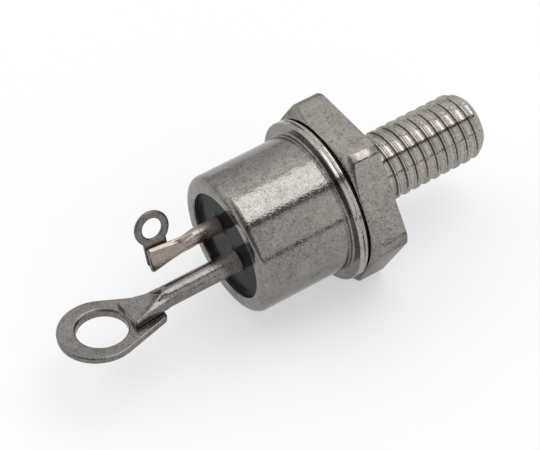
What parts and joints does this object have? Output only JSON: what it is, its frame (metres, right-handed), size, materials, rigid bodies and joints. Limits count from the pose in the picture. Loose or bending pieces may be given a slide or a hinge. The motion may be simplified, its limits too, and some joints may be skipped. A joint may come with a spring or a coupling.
{
  "type": "stud-mount thyristor",
  "caption": "Stud-mounted thyristor: threaded stud and hex base, welded metal cap with a black glass seal, a long cathode terminal with a ring lug and a shorter gate terminal.",
  "frame": {"origin": "on the stud's axis, in the face of the hex that seats on a heat sink", "axes": "+X along the stud away from the case, +Z normal to a flat of the hex, so the part lies on the opposite flat"},
  "size_m": [0.0391, 0.0156, 0.014],
  "materials": {
    "nickel_base": "satin nickel plate over copper",
    "nickel_ring": "satin nickel plate over steel",
    "nickel_cap": "satin nickel plate over steel",
    "nickel_terminal": "satin nickel plate",
    "nickel_lug": "satin nickel plate on a stamped lug",
    "black_glass": "glossy opaque black glass",
    "braze": "dull silver braze",
    "solder": "dull grey solder",
    "molybdenum": "ground molybdenum",
    "silicon": "lapped silicon",
    "silicone_rubber": "cured silicone varnish",
    "copper": "bare copper",
    "aluminium_wire": "bare drawn wire",
    "ptfe": "white sleeve"
  },
  "bodies": {
    "root": {"stud_base": "nickel_base", "braze_ring": "braze", "weld_ring": "nickel_ring", "cap": "nickel_cap", "glass_seal": "black_glass", "cathode_tube": "nickel_terminal", "cathode_lug": "nickel_lug", "gate_tube": "nickel_terminal", "gate_lug": "nickel_lug", "die_solder": "solder", "anode_plate": "molybdenum", "silicon_pellet": "silicon", "junction_coating": "silicone_rubber", "cathode_solder": "solder", "cathode_plate": "molybdenum", "cathode_lead": "copper", "gate_lead": "aluminium_wire", "gate_sleeve": "ptfe"}
  },
  "joints": []
}
